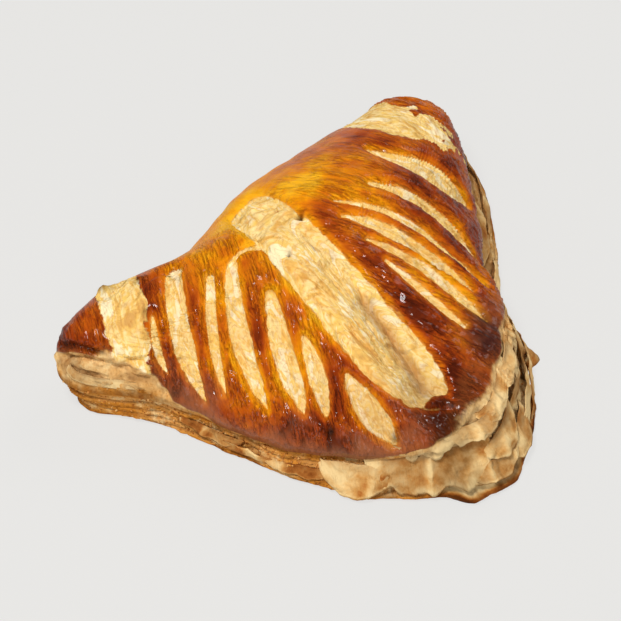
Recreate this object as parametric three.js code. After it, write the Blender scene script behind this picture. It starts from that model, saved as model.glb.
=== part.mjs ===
// Triangular puff-pastry turnover, egg-washed, scored with a leaf pattern and baked.
// One closed solid: a square of laminated dough folded over an apple filling. Its folded side is a smooth
// roll along +Y, and its two cut sides, which meet at the point on -Y, show the stacked sheets of dough.
// Millimetres, +Z up, +X along the fold. The origin is under the middle of the bounding box, on the tray.
import * as THREE from 'three';

// The filled middle, from which the outline is measured.
const MIDDLE = { x: 2, y: 12 };
const FILLING = { x: 4, y: 19, height: 45, halfLength: 44, halfWidth: 42, falloff: 1.2 };
const SHOULDER_AT_MIDDLE = 25; // height of the dough alone where the filling is thickest
const ROUND_OVER = 2.2; // how the top rolls down to the brow, 2 is an ellipse

// Stations round the pastry. base is the radius of the bottom sheet on the tray. brow is the radius of the
// glazed sheet's widest line and browHeight its height. fullness is how squarely the top rolls down to
// the brow, and shoulder the height of the dough just inside it.
const STATIONS = [
  { angle: 4, base: 63, brow: 52.5, browHeight: 13, fullness: 4, shoulder: 26 },
  { angle: 16, base: 74, brow: 63.5, browHeight: 13, fullness: 6, shoulder: 29 },
  { angle: 27, base: 79, brow: 75.5, browHeight: 13, fullness: 7, shoulder: 32 }, // right corner
  { angle: 37, base: 72, brow: 74.5, browHeight: 13, fullness: 7, shoulder: 32.5 },
  { angle: 47, base: 55, brow: 61.5, browHeight: 14, fullness: 6, shoulder: 30 },
  { angle: 62, base: 43, brow: 50.5, browHeight: 16, fullness: 4.4, shoulder: 29 },
  { angle: 90, base: 37, brow: 43.5, browHeight: 17, fullness: 3.8, shoulder: 26 }, // middle of the fold
  { angle: 113, base: 37.5, brow: 42, browHeight: 16, fullness: 3.6, shoulder: 25 },
  { angle: 134, base: 48, brow: 52, browHeight: 14, fullness: 5, shoulder: 26 },
  { angle: 145, base: 62, brow: 70, browHeight: 13, fullness: 7, shoulder: 31 },
  { angle: 153, base: 72.5, brow: 77, browHeight: 13, fullness: 8, shoulder: 32 }, // left corner
  { angle: 160, base: 71.5, brow: 75, browHeight: 12, fullness: 7, shoulder: 28 },
  { angle: 166, base: 62, brow: 63, browHeight: 11, fullness: 4.5, shoulder: 27 },
  { angle: 178, base: 53.5, brow: 52, browHeight: 9.5, fullness: 2.8, shoulder: 25 },
  { angle: 197, base: 49.5, brow: 47, browHeight: 9, fullness: 2.4, shoulder: 25 }, // left cut side
  { angle: 217, base: 50, brow: 47, browHeight: 10, fullness: 2.4, shoulder: 25 },
  { angle: 239, base: 55.5, brow: 51, browHeight: 12.5, fullness: 2.8, shoulder: 25 },
  { angle: 257, base: 62, brow: 56, browHeight: 16, fullness: 3.4, shoulder: 25 },
  { angle: 270, base: 68.5, brow: 60, browHeight: 18, fullness: 4, shoulder: 25 }, // the point
  { angle: 286, base: 63.5, brow: 55, browHeight: 19, fullness: 4, shoulder: 25 },
  { angle: 300, base: 57, brow: 49, browHeight: 19, fullness: 3.4, shoulder: 25 },
  { angle: 320, base: 50.5, brow: 44, browHeight: 15, fullness: 3, shoulder: 25 }, // right cut side
  { angle: 340, base: 49, brow: 43, browHeight: 12, fullness: 3, shoulder: 25 },
  { angle: 352, base: 54.5, brow: 46.5, browHeight: 12, fullness: 3.4, shoulder: 25 },
];

// Openings in the glazed sheet, where a score or an unglazed strip pulled apart in the oven. Each has a
// path of three plan points, its greatest width, and where along the path it is widest, from 0 to 1.
const OPENING_DEPTH = 1.3;
const OPENINGS = [
  { path: [[-5.6, 40.5], [-8.2, 0.5], [-3.4, -38.5]], width: 17.8, widest: 0.65 }, // midrib
  { path: [[-45.5, 48], [-52, 35.5], [-58.5, 21.5]], width: 13, widest: 0.35 }, // left corner
  { path: [[-46, 31.6], [-49.5, 25.7], [-50.5, 20.5]], width: 2.1, widest: 0.6 }, // left side, in order
  { path: [[-33.6, 38.8], [-43.4, 23], [-46.4, 9.2]], width: 5.5, widest: 0.45 },
  { path: [[-28.9, 28.8], [-37.4, 16.8], [-42.6, 5.6]], width: 3, widest: 0.45 },
  { path: [[-22.9, 27], [-32.8, 11], [-37.7, -6.4]], width: 5.2, widest: 0.55 },
  { path: [[-21, 13], [-27.5, -0.5], [-31.8, -14.6]], width: 6, widest: 0.55 },
  { path: [[-21.4, -0.8], [-24.3, -10.4], [-28, -18.9]], width: 4.6, widest: 0.5 },
  { path: [[-18.6, -15.2], [-19.3, -25.5], [-18.9, -35.4]], width: 6.9, widest: 0.55 },
  { path: [[41.5, 54], [47.5, 38], [58, 24]], width: 14.5, widest: 0.35 }, // right corner
  { path: [[33, 36.6], [42.1, 22.8], [51, 12.6]], width: 8.8, widest: 0.6 }, // right side, in order
  { path: [[22.9, 23.2], [34.4, 8], [40.4, -5.8]], width: 4.6, widest: 0.45 },
  { path: [[10, 23.5], [24.4, 4.9], [33, -13.7]], width: 2.7, widest: 0.6 },
  { path: [[7.9, 18], [19.2, 1], [27.1, -15.7]], width: 4.9, widest: 0.5 },
  { path: [[7.8, 8.2], [18, -8.4], [23.8, -24.8]], width: 4, widest: 0.62 },
  { path: [[8.4, 0], [12.3, -12.6], [16.5, -24.3]], width: 2.8, widest: 0.6 },
];

// The cut sides: a stack of sheets, each stepping out a little past the one above.
const SHEETS = 4;
const SHEET_WANDER = 0.7; // how far a sheet's edge strays in and out
const FOLDED_FROM = 44; // the folded side, between these angles, shows no sheets
const FOLDED_TO = 138;
const FOLD_BLEND = 14;
const FOOT_TUCK = 2.2; // how far the bottom sheet's edge rounds in to the tray
const FLAPS = [ // pieces of the bottom sheet that stick out past the rest
  { angle: 262.5, reach: 2.6, halfAngle: 3 },
  { angle: 313.5, reach: 4.2, halfAngle: 3.4 },
  { angle: 236, reach: 1.2, halfAngle: 5 },
];

// Facets
const COLUMNS = 120;
const TOP_RINGS = 34;
const CORE_COLUMNS = 15;

const degrees = (d) => (d * Math.PI) / 180;
const smooth = (low, high, x) => {
  const t = Math.min(1, Math.max(0, (x - low) / (high - low)));
  return t * t * (3 - 2 * t);
};

// A value of the stations at any angle: a cubic through them that closes on itself.
function stationValue(angle, key) {
  const count = STATIONS.length;
  const at = (i) => {
    const turn = Math.floor(i / count);
    const s = STATIONS[i - turn * count];
    return { a: s.angle + 360 * turn, v: s[key] };
  };
  let i = 0;
  while (i < count && at(i + 1).a <= angle) i += 1;
  if (angle < at(0).a) i = -1;
  const [p, q, r, s] = [at(i - 1), at(i), at(i + 1), at(i + 2)];
  const rise = (from, to) => (to.v - from.v) / (to.a - from.a);
  const slope = (before, mid, after) =>
    (rise(before, mid) * (after.a - mid.a) + rise(mid, after) * (mid.a - before.a)) / (after.a - before.a);
  const span = r.a - q.a;
  const t = (angle - q.a) / span;
  return (2 * t ** 3 - 3 * t ** 2 + 1) * q.v + (t ** 3 - 2 * t ** 2 + t) * span * slope(p, q, r) +
    (3 * t ** 2 - 2 * t ** 3) * r.v + (t ** 3 - t ** 2) * span * slope(q, r, s);
}

// How much an angle belongs to the cut sides, 0 on the fold.
const layered = (angle) =>
  1 - smooth(FOLDED_FROM, FOLDED_FROM + FOLD_BLEND, angle) * smooth(FOLDED_TO, FOLDED_TO - FOLD_BLEND, angle);

// Slow irregular waves in the hand-made outline, different for each seed.
function wander(angle, seed) {
  const a = degrees(angle);
  return 0.45 * Math.sin(7 * a + 1.3 * seed) + 0.35 * Math.sin(13 * a + 2.1 * seed + 1) +
    0.2 * Math.sin(23 * a + 3.7 * seed + 2);
}

// Height of the dough over a plan point: the shoulder, raised by the filling under it.
function doughHeight(x, y, shoulder) {
  const q = ((x - FILLING.x) / FILLING.halfLength) ** 2 + ((y - FILLING.y) / FILLING.halfWidth) ** 2;
  return shoulder + (FILLING.height - shoulder) * Math.exp(-(q ** FILLING.falloff));
}

// Distance from a plan point to the nearest opening's edge, negative inside it.
const OPENING_STEPS = 14;
function openingLines() {
  return OPENINGS.map(({ path, width, widest }) => {
    const [from, via, to] = path.map(([x, y]) => new THREE.Vector2(x, y));
    // The middle point lies on the curve, so the control point is pulled past it.
    const control = via.clone().multiplyScalar(2).sub(from.clone().add(to).multiplyScalar(0.5));
    const curve = new THREE.QuadraticBezierCurve(from, control, to);
    const lean = Math.log(0.5) / Math.log(widest);
    return Array.from({ length: OPENING_STEPS + 1 }, (_, i) => {
      const t = i / OPENING_STEPS;
      return { point: curve.getPoint(t), half: (width / 2) * Math.sin(Math.PI * t ** lean) ** 0.7 };
    });
  });
}
const LINES = openingLines();
function openingDistance(x, y) {
  let nearest = Infinity;
  for (const line of LINES) {
    for (let i = 0; i < line.length - 1; i += 1) {
      const [a, b] = [line[i], line[i + 1]];
      const [dx, dy] = [b.point.x - a.point.x, b.point.y - a.point.y];
      const along = ((x - a.point.x) * dx + (y - a.point.y) * dy) / (dx * dx + dy * dy);
      const t = Math.min(1, Math.max(0, along));
      const gap = Math.hypot(x - a.point.x - t * dx, y - a.point.y - t * dy);
      nearest = Math.min(nearest, gap - (a.half + (b.half - a.half) * t));
    }
  }
  return nearest;
}

// A point of the glazed top. share runs from 0 over the middle to 1 at the brow.
function topPoint(angle, share) {
  const keys = ['brow', 'browHeight', 'fullness', 'shoulder'];
  const [brow, low, full, edge] = keys.map((key) => stationValue(angle, key));
  const radius = share * (brow + 0.5 * wander(angle, 1));
  const x = MIDDLE.x + radius * Math.cos(degrees(angle));
  const y = MIDDLE.y + radius * Math.sin(degrees(angle));
  const shoulder = SHOULDER_AT_MIDDLE + (edge - SHOULDER_AT_MIDDLE) * share ** 2;
  const roll = Math.max(0, 1 - share ** full) ** (1 / ROUND_OVER);
  const sunk = OPENING_DEPTH * smooth(1.6, -1.4, openingDistance(x, y)) * smooth(1, 0.94, share);
  return new THREE.Vector3(x, y, low + (doughHeight(x, y, shoulder) - low) * roll - sunk);
}

// Radius of the bottom sheet's edge, with its flaps.
function baseRadius(angle) {
  const flaps = FLAPS.map((f) => f.reach * Math.exp(-(((angle - f.angle) / f.halfAngle) ** 2)));
  return stationValue(angle, 'base') + flaps.reduce((sum, reach) => sum + reach, 0);
}

// A point of the side. level runs from 0 at the brow to 1 on the tray, and sheet is 0 for the top one.
function sidePoint(angle, level, sheet) {
  const [brow, low] = ['brow', 'browHeight'].map((k) => stationValue(angle, k));
  const base = baseRadius(angle);
  const rolled = base + (brow - base) * Math.sqrt(1 - level ** 2);
  const step = (sheet + 1) / SHEETS;
  const stacked = brow + (base - brow) * step + SHEET_WANDER * wander(angle, sheet + 3);
  const tuck = level === 1 ? FOOT_TUCK : 0;
  const radius = rolled + (stacked - tuck - rolled) * layered(angle);
  return new THREE.Vector3(
    MIDDLE.x + radius * Math.cos(degrees(angle)),
    MIDDLE.y + radius * Math.sin(degrees(angle)),
    low * (1 - level),
  );
}

// Rings of points, from the middle of the top, over the brow and down the side, to the middle of the base.
function rings() {
  const made = [];
  const ring = (columns, point) => Array.from({ length: columns }, (_, i) => point((360 * i) / columns));
  const columnsAt = (share) => {
    let columns = COLUMNS;
    while (columns > CORE_COLUMNS && columns > 1.25 * COLUMNS * share) columns /= 2;
    return columns;
  };
  for (let i = 1; i <= TOP_RINGS; i += 1) {
    // Rings crowd towards the brow, where the top is steep.
    const share = Math.sin(((i / TOP_RINGS) * Math.PI) / 2);
    made.push(ring(columnsAt(share), (a) => topPoint(a, share)));
  }
  for (let sheet = 0; sheet < SHEETS; sheet += 1) {
    for (const part of [0.12, 0.98]) {
      const level = sheet === SHEETS - 1 && part > 0.5 ? 1 : (sheet + part) / SHEETS;
      made.push(ring(COLUMNS, (a) => sidePoint(a, level, sheet)));
    }
  }
  const foot = made[made.length - 1];
  for (const share of [0.6, 0.3]) {
    const columns = columnsAt(share);
    made.push(Array.from({ length: columns }, (_, i) => {
      const p = foot[(i * COLUMNS) / columns];
      return new THREE.Vector3(MIDDLE.x + (p.x - MIDDLE.x) * share, MIDDLE.y + (p.y - MIDDLE.y) * share, 0);
    }));
  }
  return made;
}

// One closed skin over the rings. Where the count of columns halves, three triangles join two columns to one.
function skin(allRings) {
  const points = [];
  const faces = [];
  const add = (p) => points.push(p) - 1;
  const firstRing = allRings[0];
  const lastRing = allRings[allRings.length - 1];
  const topMiddle = add(topPoint(0, 0));
  const ids = allRings.map((r) => r.map(add));
  const baseMiddle = add(new THREE.Vector3(MIDDLE.x, MIDDLE.y, 0));
  firstRing.forEach((_, i) => faces.push([topMiddle, ids[0][i], ids[0][(i + 1) % firstRing.length]]));
  for (let k = 0; k < ids.length - 1; k += 1) {
    const [inner, outer] = [ids[k], ids[k + 1]];
    const few = Math.min(inner.length, outer.length);
    const stepIn = inner.length / few;
    const stepOut = outer.length / few;
    for (let i = 0; i < few; i += 1) {
      const a = inner.slice(i * stepIn, (i + 1) * stepIn).concat(inner[((i + 1) * stepIn) % inner.length]);
      const b = outer.slice(i * stepOut, (i + 1) * stepOut).concat(outer[((i + 1) * stepOut) % outer.length]);
      if (a.length === 3) faces.push([a[0], b[0], a[1]], [a[1], b[0], b[1]], [a[1], b[1], a[2]]);
      else if (b.length === 3) faces.push([a[0], b[0], b[1]], [a[0], b[1], a[1]], [a[1], b[1], b[2]]);
      else faces.push([a[0], b[0], b[1]], [a[0], b[1], a[1]]);
    }
  }
  const last = ids[ids.length - 1];
  lastRing.forEach((_, i) => faces.push([baseMiddle, last[(i + 1) % last.length], last[i]]));
  return { points, faces };
}

function pastryGeometry() {
  const { points, faces } = skin(rings());
  const box = new THREE.Box3().setFromPoints(points);
  const middle = box.getCenter(new THREE.Vector3());
  const geometry = new THREE.BufferGeometry().setFromPoints(points);
  geometry.setIndex(faces.flat());
  geometry.translate(-middle.x, -middle.y, 0);
  geometry.computeVertexNormals();
  return geometry;
}

const bakedDough = new THREE.MeshStandardMaterial({ color: 0xc8823a, roughness: 0.45, metalness: 0 });
const turnover = new THREE.Mesh(pastryGeometry(), bakedDough);
turnover.name = 'turnover';

const group = new THREE.Group();
group.add(turnover);
export default group;
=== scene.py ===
import itertools
import math

import bmesh
import bpy
import numpy as np
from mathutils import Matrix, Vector


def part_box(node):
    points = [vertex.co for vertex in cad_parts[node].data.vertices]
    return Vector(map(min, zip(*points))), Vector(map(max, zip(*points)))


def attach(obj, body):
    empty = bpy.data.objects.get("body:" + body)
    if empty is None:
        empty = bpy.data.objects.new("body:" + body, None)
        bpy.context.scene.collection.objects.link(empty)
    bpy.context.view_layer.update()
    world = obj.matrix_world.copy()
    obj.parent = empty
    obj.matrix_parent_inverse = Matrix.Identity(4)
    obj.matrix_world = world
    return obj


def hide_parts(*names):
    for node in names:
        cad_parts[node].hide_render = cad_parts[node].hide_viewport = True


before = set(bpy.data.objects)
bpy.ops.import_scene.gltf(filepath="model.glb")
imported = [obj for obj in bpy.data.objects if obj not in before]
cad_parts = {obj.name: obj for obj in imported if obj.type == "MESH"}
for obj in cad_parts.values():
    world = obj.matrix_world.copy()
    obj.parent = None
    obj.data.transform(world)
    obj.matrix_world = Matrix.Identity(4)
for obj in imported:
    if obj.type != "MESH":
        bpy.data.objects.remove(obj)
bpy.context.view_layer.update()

# ---- The folded dough --------------------------------------------------------
# A square of laminated dough folded over a filling: three thick blunt corners, a domed middle, a smooth
# fold along +Y and two cut sides. All shapes are worked out in millimetres, round the filled middle.

MIDDLE = np.array([2.0, 12.0])
FILLING = {"x": 4, "y": 19, "height": 44.0, "half_length": 44, "half_width": 42, "falloff": 1.2}
SHOULDER_AT_MIDDLE = 25  # height of the dough alone where the filling is thickest
ROUND_OVER = 2.2  # how the top rolls down to the brow, 2 is an ellipse

# Round the pastry: angle, radius on the tray, radius and height of the glazed sheet's widest line, how
# squarely the top rolls down to it, height of the dough just inside it, and where the egg wash ends.
ANGLE, BASE, BROW, BROW_HEIGHT, FULLNESS, SHOULDER, WASH_ENDS = range(7)
STATIONS = np.array([
    [4, 63, 52.5, 13, 4, 26, 13.5],
    [16, 74, 63.5, 13, 6, 29, 13],
    [27, 79, 75.5, 13, 7, 32, 12],
    [37, 72, 74.5, 13, 7, 32.5, 10],
    [47, 55, 61.5, 14, 6, 30, 9],
    [62, 43, 50.5, 16, 4.4, 29, 4],
    [90, 37, 43.5, 17, 3.8, 26, 2.5],
    [113, 37.5, 42, 16, 3.6, 25, 3],
    [134, 48, 52, 14, 5, 26, 7],
    [145, 62, 70, 13, 7, 31, 15],
    [153, 72.5, 77, 13, 8, 32, 18],
    [160, 71.5, 75, 12, 7, 28, 23.8],
    [166, 62, 63, 11, 4.5, 27, 21],
    [178, 53.5, 52, 9.5, 2.8, 25, 11],
    [197, 49.5, 47, 9, 2.4, 25, 8.4],
    [217, 50, 47, 10, 2.4, 25, 8.6],
    [239, 55.5, 51, 12.5, 2.8, 25, 12],
    [257, 62, 56, 16, 3.4, 25, 19.5],
    [270, 68.5, 60, 18, 4, 25, 24],
    [286, 63.5, 55, 19, 4, 25, 24.5],
    [300, 57, 49, 19, 3.4, 25, 23.6],
    [320, 50.5, 44, 15, 3, 25, 18.5],
    [340, 49, 43, 12, 3, 25, 14],
    [352, 54.5, 46.5, 12, 3.4, 25, 13],
])
# Flaps of the bottom sheet that stick out past the rest: angle, reach, half-angle.
FLAPS = [(262.5, 2.6, 3), (313.5, 4.2, 3.4), (236, 1.2, 5)]


def station(angle, column):
    """A value of the stations at any angle: a cubic through them that closes on itself."""
    known = np.concatenate([STATIONS[-3:, ANGLE] - 360, STATIONS[:, ANGLE], STATIONS[:3, ANGLE] + 360])
    value = np.concatenate([STATIONS[-3:, column], STATIONS[:, column], STATIONS[:3, column]])
    span = np.diff(known)
    rise = np.diff(value) / span
    slope = np.zeros_like(value)
    slope[1:-1] = (rise[:-1] * span[1:] + rise[1:] * span[:-1]) / (span[1:] + span[:-1])
    turned = np.mod(angle, 360)
    i = np.clip(np.searchsorted(known, turned) - 1, 0, len(known) - 2)
    t = (turned - known[i]) / span[i]
    return ((2 * t**3 - 3 * t**2 + 1) * value[i] + (t**3 - 2 * t**2 + t) * span[i] * slope[i]
            + (3 * t**2 - 2 * t**3) * value[i + 1] + (t**3 - t**2) * span[i] * slope[i + 1])


def smooth(low, high, x):
    """0 at low, 1 at high and smooth between; low may be the larger."""
    t = np.clip((x - low) / (high - low), 0, 1)
    return t * t * (3 - 2 * t)


def between(x, start, full, leave, end):
    """1 from full to leave, 0 before start and past end."""
    return smooth(start, full, x) * smooth(end, leave, x)


# Large odd numbers that turn a lattice corner's place and a seed into a number of its own.
SCATTER = np.array([374761393, 668265263, 1442695041])
SCATTER_SEED = 982451653
SCATTER_AGAIN = ((13, 1274126177), (16, 2246822519))
LOW_BITS = 0xFFFFFFFF


def lumps(points, scale=1.0, seed=0):
    """Smooth irregular lumps, from -1 to 1, one apart at scale 1. The scale may differ along x, y and z."""
    p = np.asarray(points, float) * scale + 31.7 * seed
    cell = np.floor(p).astype(np.int64)
    f = p - cell
    f = f * f * f * (f * (f * 6 - 15) + 10)
    total = np.zeros(len(p))
    for corner in itertools.product((0, 1), repeat=3):
        mixed = ((cell + np.array(corner)) @ SCATTER + seed * SCATTER_SEED) & LOW_BITS
        for shift_by, factor in SCATTER_AGAIN:
            mixed = ((mixed ^ (mixed >> shift_by)) * factor) & LOW_BITS
        value = ((mixed ^ (mixed >> 15)) & 0xFFFFFF) / 0x7FFFFF - 1
        total += value * np.prod(np.where(np.array(corner), f, 1 - f), axis=1)
    return total


def crumple(points, scale=1.0, seed=0, octaves=4, gain=0.5):
    """Lumps with finer and finer lumps on them."""
    return sum(gain**k * lumps(points, np.asarray(scale) * 2.03**k, seed + 7 * k) for k in range(octaves))


def crests(points, scale, seed, sharpness):
    """Narrow winding ridges: 1 along their crests and 0 away from them."""
    return np.maximum(0, 1 - sharpness * np.abs(lumps(points, scale, seed)))


def flaky(points, scale, seed, steps):
    """Thin sheets lying over one another: their height in steps from 0 to 1, and 1 along their edges."""
    height = (0.5 + 0.5 * crumple(points, scale, seed, 3)) * steps
    part = height - np.floor(height)
    return (np.floor(height) + smooth(0, 0.16, part) - 1) / steps, np.exp(-((part - 0.08) / 0.1)**2)


def around(angle, radius, z):
    """Points at polar places round the filled middle."""
    a = np.radians(angle)
    return np.stack([MIDDLE[0] + radius * np.cos(a), MIDDLE[1] + radius * np.sin(a), z + 0 * a], axis=-1)


def radial(angle):
    """Unit vectors that point out from the filled middle."""
    return around(angle, 1.0, 0) - around(angle, 0.0, 0)


def wander(angle, seed):
    """Slow irregular waves in the hand-made outline."""
    a = np.radians(angle)
    return (0.45 * np.sin(7 * a + 1.3 * seed) + 0.35 * np.sin(13 * a + 2.1 * seed + 1)
            + 0.2 * np.sin(31 * a + 3.7 * seed + 2))


def brow_radius(angle):
    return station(angle, BROW) + 0.7 * wander(angle, 1)


def dome(angle, share):
    """The smooth top. share runs from 0 over the middle to 1 at the brow, the glazed sheet's widest line."""
    low = station(angle, BROW_HEIGHT)
    radius = share * brow_radius(angle)
    p = around(angle, radius, 0)
    from_filling = (((p[:, 0] - FILLING["x"]) / FILLING["half_length"])**2
                    + ((p[:, 1] - FILLING["y"]) / FILLING["half_width"])**2)
    shoulder = SHOULDER_AT_MIDDLE + (station(angle, SHOULDER) - SHOULDER_AT_MIDDLE) * share**2
    height = shoulder + (FILLING["height"] - shoulder) * np.exp(-from_filling**FILLING["falloff"])
    p[:, 2] = low + (height - low) * np.maximum(0, 1 - share**station(angle, FULLNESS))**(1 / ROUND_OVER)
    return p


def outward(shape, first, second, steps):
    """Unit normals of a surface given by two values, by small differences."""
    a = shape(first + steps[0], second) - shape(first - steps[0], second)
    b = shape(first, np.minimum(second + steps[1], 1)) - shape(first, second - steps[1])
    n = np.cross(b, a)
    n *= np.sign(np.sum(n * (shape(first, second) - np.array([*MIDDLE, 5])), axis=1, keepdims=True))
    return n / np.maximum(np.linalg.norm(n, axis=1, keepdims=True), 1e-9)


# ---- The scores and the bare strips ------------------------------------------
# The egg-washed sheet was scored before baking and the scores pulled apart, showing the paler, fibrous
# dough under it. A wide midrib runs from the fold to the point, and each corner has an unwashed strip.

# Plan path of three points, greatest width, where along it that comes, and the width of each end to it.
MIDRIB = dict(path=[[-5.6, 40.5], [-8.2, 0.5], [-3.2, -37]], width=17.4, widest=0.76, ends=(0.74, 0.2))
LEFT_BARE = dict(path=[[-46, 47], [-52, 35.5], [-58.5, 22.5]], width=12.5, widest=0.1, ends=(0.9, 0.5))
RIGHT_BARE = dict(path=[[44.6, 55.2], [50.2, 40.4], [60.8, 25.2]], width=16.4, widest=0.2, ends=(0.9, 0.15))
SCORES = [
    dict(path=[[-46, 31.6], [-49.5, 25.7], [-50.5, 20.5]], width=2.1, widest=0.6, ends=(0.3, 0.3)),
    dict(path=[[-33.9, 38.1], [-43.4, 23], [-46.3, 9.7]], width=5.5, widest=0.5, ends=(0.85, 0.05)),
    dict(path=[[-29.2, 28.1], [-37.4, 16.8], [-42.4, 6.2]], width=3.0, widest=0.5, ends=(0.8, 0.1)),
    dict(path=[[-23.2, 26.5], [-32.8, 11], [-37.4, -5.7]], width=5.2, widest=0.6, ends=(0.6, 0.05)),
    dict(path=[[-22.6, 27.2], [-18.3, 27.7], [-14.6, 24.2]], width=1.4, widest=0.5, ends=(0.9, 0.9)),
    dict(path=[[-21.2, 12.5], [-27.5, -0.5], [-31.6, -13.9]], width=6.0, widest=0.6, ends=(0.4, 0.05)),
    dict(path=[[-21.6, -1.4], [-24.3, -10.4], [-27.8, -18.3]], width=4.6, widest=0.5, ends=(0.3, 0.2)),
    dict(path=[[-18.7, -15.8], [-19.3, -25.5], [-18.9, -34.9]], width=6.9, widest=0.6, ends=(0.2, 0.25)),
    dict(path=[[33.4, 36.2], [42.1, 22.8], [50.7, 13]], width=8.8, widest=0.65, ends=(0.12, 0.25)),
    dict(path=[[23.2, 22.7], [34.4, 8], [40.1, -5.1]], width=4.6, widest=0.45, ends=(0.5, 0.35)),
    dict(path=[[10.3, 23.1], [24.4, 4.9], [32.7, -13.1]], width=2.7, widest=0.6, ends=(0.35, 0.5)),
    dict(path=[[8.2, 17.5], [19.2, 1], [26.8, -15.1]], width=4.9, widest=0.5, ends=(0.15, 0.2)),
    dict(path=[[8.1, 7.7], [18, -8.4], [23.6, -24.2]], width=4.0, widest=0.62, ends=(0.12, 0.2)),
    dict(path=[[8.6, -0.5], [12.3, -12.6], [16.3, -23.8]], width=2.8, widest=0.6, ends=(0.3, 0.3)),
]
STEPS_ALONG = 18
CREASE_STEPS = 10
FAR_OUTSIDE = -99.0


def on_dome(plan):
    """The points of the smooth top over points of the plan."""
    d = np.asarray(plan, float) - MIDDLE
    angle = np.degrees(np.arctan2(d[:, 1], d[:, 0]))
    return dome(angle, np.minimum(np.hypot(d[:, 0], d[:, 1]) / brow_radius(angle), 0.9995))


def centre_line(path, steps):
    """A smooth curve through three plan points, laid on the top."""
    start, via, end = np.array(path, float)
    control = 2 * via - (start + end) / 2
    t = np.linspace(0, 1, steps + 1)[:, None]
    return on_dome((1 - t)**2 * start + 2 * t * (1 - t) * control + t**2 * end), t[:, 0]


def from_segment(points, a, b):
    """How far along the segment from a to b points lie, from 0 to 1, and their distance from it."""
    along = np.clip((points - a) @ (b - a) / np.sum((b - a)**2), 0, 1)
    return along, np.linalg.norm(points - a - along[:, None] * (b - a), axis=1)


def inside(points, opening):
    """How far points lie inside an opening's edge, in millimetres, negative outside it."""
    line, t = centre_line(opening["path"], STEPS_ALONG)
    head, tail = opening["ends"]
    peak = opening["widest"]
    grow = head + (1 - head) * np.sin(np.pi / 2 * np.clip(t / peak, 0, 1))**0.8
    fade = tail + (1 - tail) * np.sin(np.pi / 2 * np.clip((1 - t) / (1 - peak), 0, 1))**0.8
    half = opening["width"] / 2 * np.where(t < peak, grow, fade)
    reach = np.linalg.norm(line[0] - line[-1]) * 0.6 + 14
    near = np.linalg.norm(points - line.mean(0), axis=1) < reach
    found = np.full(np.count_nonzero(near), FAR_OUTSIDE)
    for a, b, wide, next_wide in zip(line[:-1], line[1:], half[:-1], half[1:]):
        along, gap = from_segment(points[near], a, b)
        found = np.maximum(found, wide + (next_wide - wide) * along - gap)
    deep = np.full(len(points), FAR_OUTSIDE)
    deep[near] = found
    return deep


def ragged(points):
    """The uneven tearing of an edge, in millimetres."""
    return 0.55 * crumple(points, 0.22, 3, 3) + 0.3 * lumps(points, 1.1, 5)


def grain(points):
    """Coordinates along and across the scores, which lean one way on each side of the midrib."""
    lean = np.radians(246 + 53 * smooth(-13, -1, points[:, 0]))
    d = points[:, :2] - np.array([-7.0, 42.0])
    along = d[:, 0] * np.cos(lean) + d[:, 1] * np.sin(lean)
    across = -d[:, 0] * np.sin(lean) + d[:, 1] * np.cos(lean)
    return np.stack([along, across, points[:, 2]], axis=1)


# Grooves pressed or folded into the top: plan path, depth and half-width, in millimetres.
CORNER_SLIT = dict(path=[[-65.5, 47], [-65.5, 42.5], [-61, 34]], depth=2.2, half=0.8)
MIDRIB_FURROW = dict(path=[[-4.0, -6], [-3.7, -19], [-4.9, -31]], depth=2.8, half=2.0)
CREASES = [
    CORNER_SLIT,
    MIDRIB_FURROW,
    dict(path=[[2.8, 3], [3.6, -9], [2.2, -22]], depth=0.7, half=1.3),
    dict(path=[[-12, 22], [-13, 8], [-11.5, -8]], depth=0.5, half=1.2),
    dict(path=[[27, 27], [33, 20], [38, 15]], depth=0.5, half=0.4),
    dict(path=[[-48, 38], [-40, 40.5], [-30, 38.5]], depth=0.4, half=0.7),
    dict(path=[[-68.2, 43], [-65.7, 38], [-60.5, 31.5]], depth=1.0, half=0.6),
    dict(path=[[-66.6, 39.4], [-63.2, 34], [-57.5, 28]], depth=0.9, half=0.7),
    dict(path=[[-60.5, 35], [-57.5, 30], [-54, 26]], depth=0.7, half=0.6),
    dict(path=[[-57, 44], [-56.5, 37], [-54.5, 31]], depth=0.6, half=0.8),
]
# A browned flake lies across the midrib's end, and nubs of glaze stand at the scores' tips and beside the
# left bare strip. A nub is a plan point and a radius.
FLAKE = dict(path=[[-7.5, -35], [-3, -37], [-1, -41]], width=4.2, widest=0.55, ends=(0.3, 0.8))
NUBS = [(-17.8, -34.6, 1.2), (-46.8, 33.5, 0.9), (-48.5, 48.5, 1.5), (-41.5, 42, 1.6)]
# Steam holes and scorched spots: plan point, radius.
HOLES = [(-0.4, 25.4, 0.9), (-28.9, -21.7, 1.3), (-10.9, 17.7, 0.35)]
SCORCHED = [(17.5, -29.5, 6.0), (22, -24.5, 5.0)]


def groove(points, crease):
    """How deep a crease is at each point, as a share of its depth."""
    line, _ = centre_line(crease["path"], CREASE_STEPS)
    gap = np.min([from_segment(points, a, b)[1] for a, b in zip(line[:-1], line[1:])], axis=0)
    return np.exp(-(gap / crease["half"])**2)


def near_spots(points, spots):
    """1 at the middle of a spot, fading out past its radius."""
    gaps = [np.linalg.norm(points[:, :2] - np.array([x, y]), axis=1) / radius for x, y, radius in spots]
    return np.max([np.exp(-gap**2) for gap in gaps], axis=0)


# ---- The cut sides -----------------------------------------------------------
# Where the dough was cut its sheets puffed apart. They stand in uneven steps under the glazed sheet's
# rounded edge, tall and pleated at the point and thin along the left, with a browned sheet on the tray.

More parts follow.
